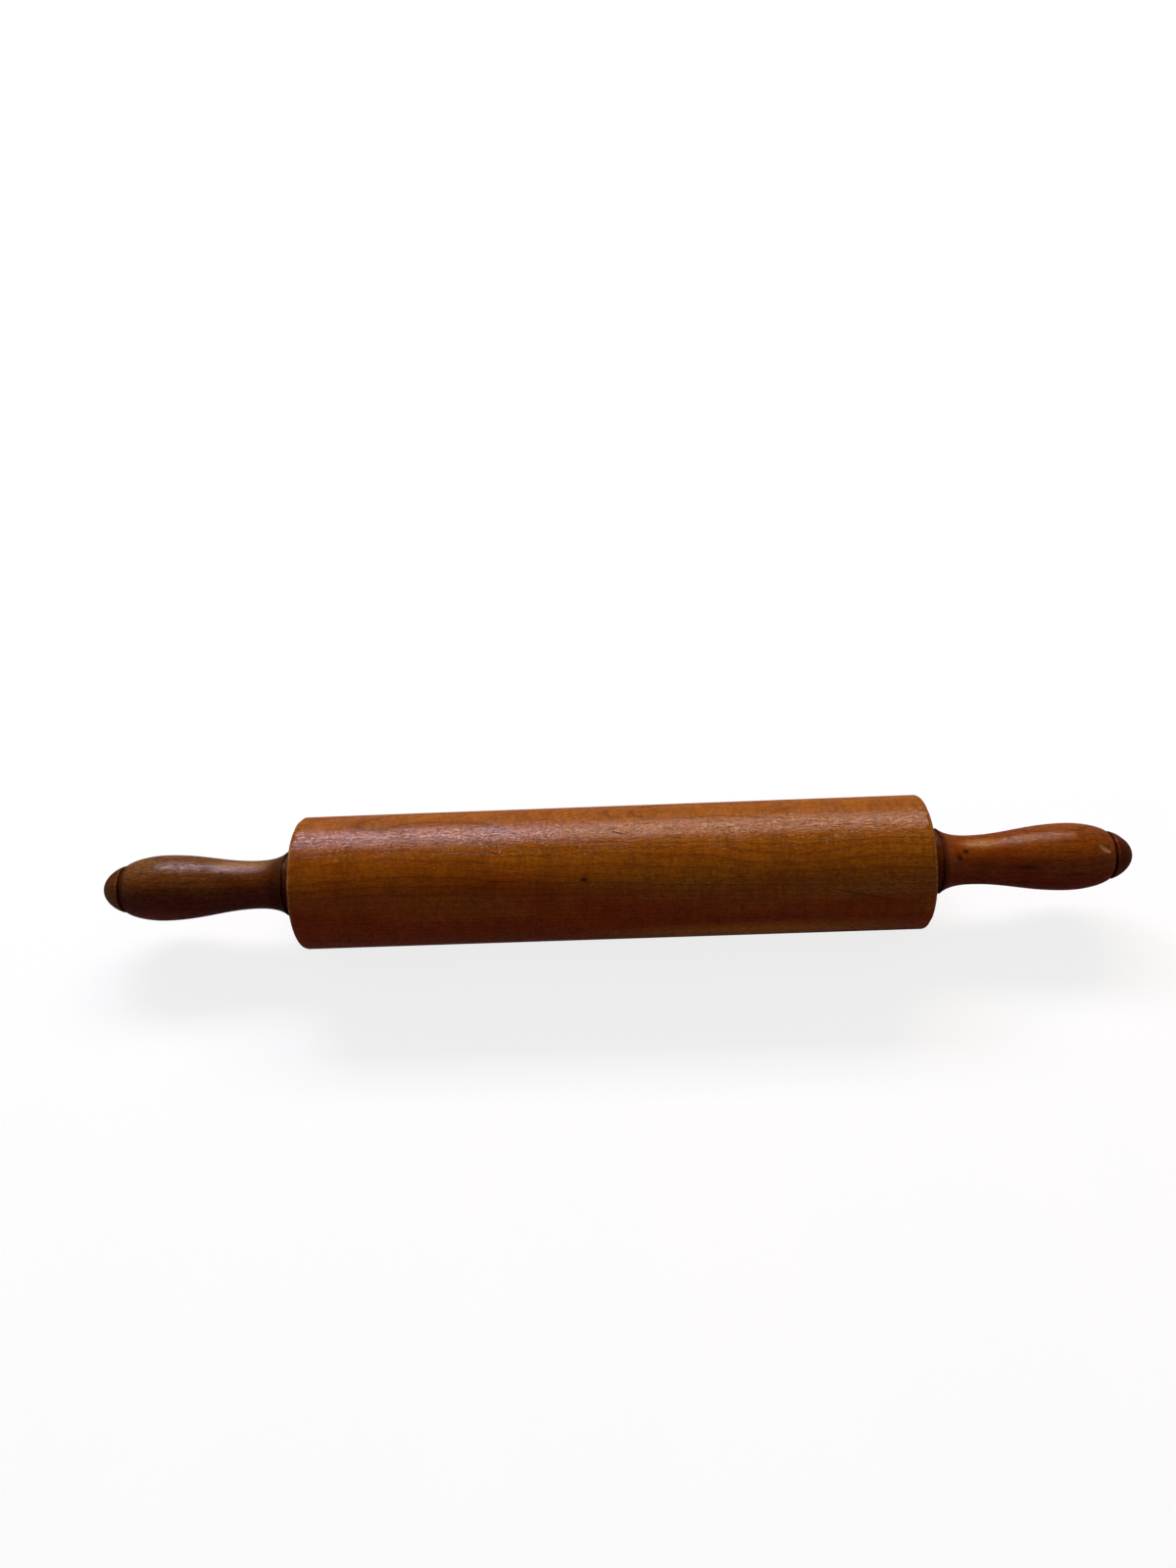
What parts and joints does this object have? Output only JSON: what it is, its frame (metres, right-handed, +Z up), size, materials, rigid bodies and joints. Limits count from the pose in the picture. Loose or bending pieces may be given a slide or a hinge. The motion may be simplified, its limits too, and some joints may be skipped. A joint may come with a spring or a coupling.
{
  "type": "rolling pin",
  "caption": "Rolling pin with a turned wooden barrel that spins on ball bearings about a steel rod, between turned wooden handles with domed end buttons.",
  "frame": {"origin": "the middle of the rod's axis, inside the barrel", "axes": "+X along the rod towards the right-hand handle, +Z up, +Y away from the user"},
  "size_m": [0.5418, 0.07, 0.07],
  "materials": {
    "barrel_wood": "aged orange-brown hardwood, satin varnish",
    "handle_wood": "darker handled hardwood, glossy varnish",
    "button_wood": "turned hardwood, varnish worn at the rim",
    "rod_steel": "cold-drawn steel",
    "bearing_steel": "ground bearing steel",
    "cage_nylon": "moulded nylon, natural",
    "shield_steel": "pressed sheet steel",
    "spring_steel": "blackened spring steel",
    "zinc_steel": "zinc-plated steel"
  },
  "bodies": {
    "axle": {"axle_rod": "rod_steel", "left_bearing_inner_ring": "bearing_steel", "left_retaining_ring": "spring_steel", "left_spacer": "rod_steel", "left_handle": "handle_wood", "left_flat_washer": "zinc_steel", "left_lock_washer": "spring_steel", "left_nut": "zinc_steel", "left_button": "button_wood", "right_bearing_inner_ring": "bearing_steel", "right_retaining_ring": "spring_steel", "right_spacer": "rod_steel", "right_handle": "handle_wood", "right_flat_washer": "zinc_steel", "right_lock_washer": "spring_steel", "right_nut": "zinc_steel", "right_button": "button_wood"},
    "barrel": {"barrel": "barrel_wood", "left_bearing_outer_ring": "bearing_steel", "left_bearing_shields": "shield_steel", "right_bearing_outer_ring": "bearing_steel", "right_bearing_shields": "shield_steel"},
    "left_ball_cage": {"left_bearing_balls": "bearing_steel", "left_bearing_cage": "cage_nylon"},
    "right_ball_cage": {"right_bearing_balls": "bearing_steel", "right_bearing_cage": "cage_nylon"}
  },
  "joints": [
    {"name": "barrel_spin", "type": "hinge", "parent": "axle", "child": "barrel", "pos_m": [0, 0, 0], "axis": [1, 0, 0], "continuous": true},
    {"name": "left_cage_spin", "type": "hinge", "parent": "axle", "child": "left_ball_cage", "pos_m": [-0.157, 0, 0], "axis": [1, 0, 0], "continuous": true},
    {"name": "right_cage_spin", "type": "hinge", "parent": "axle", "child": "right_ball_cage", "pos_m": [0.157, 0, 0], "axis": [1, 0, 0], "continuous": true}
  ],
  "couplings": [
    {"joint": "left_cage_spin", "follows": "barrel_spin", "ratio": 0.63228},
    {"joint": "right_cage_spin", "follows": "barrel_spin", "ratio": 0.63228}
  ]
}
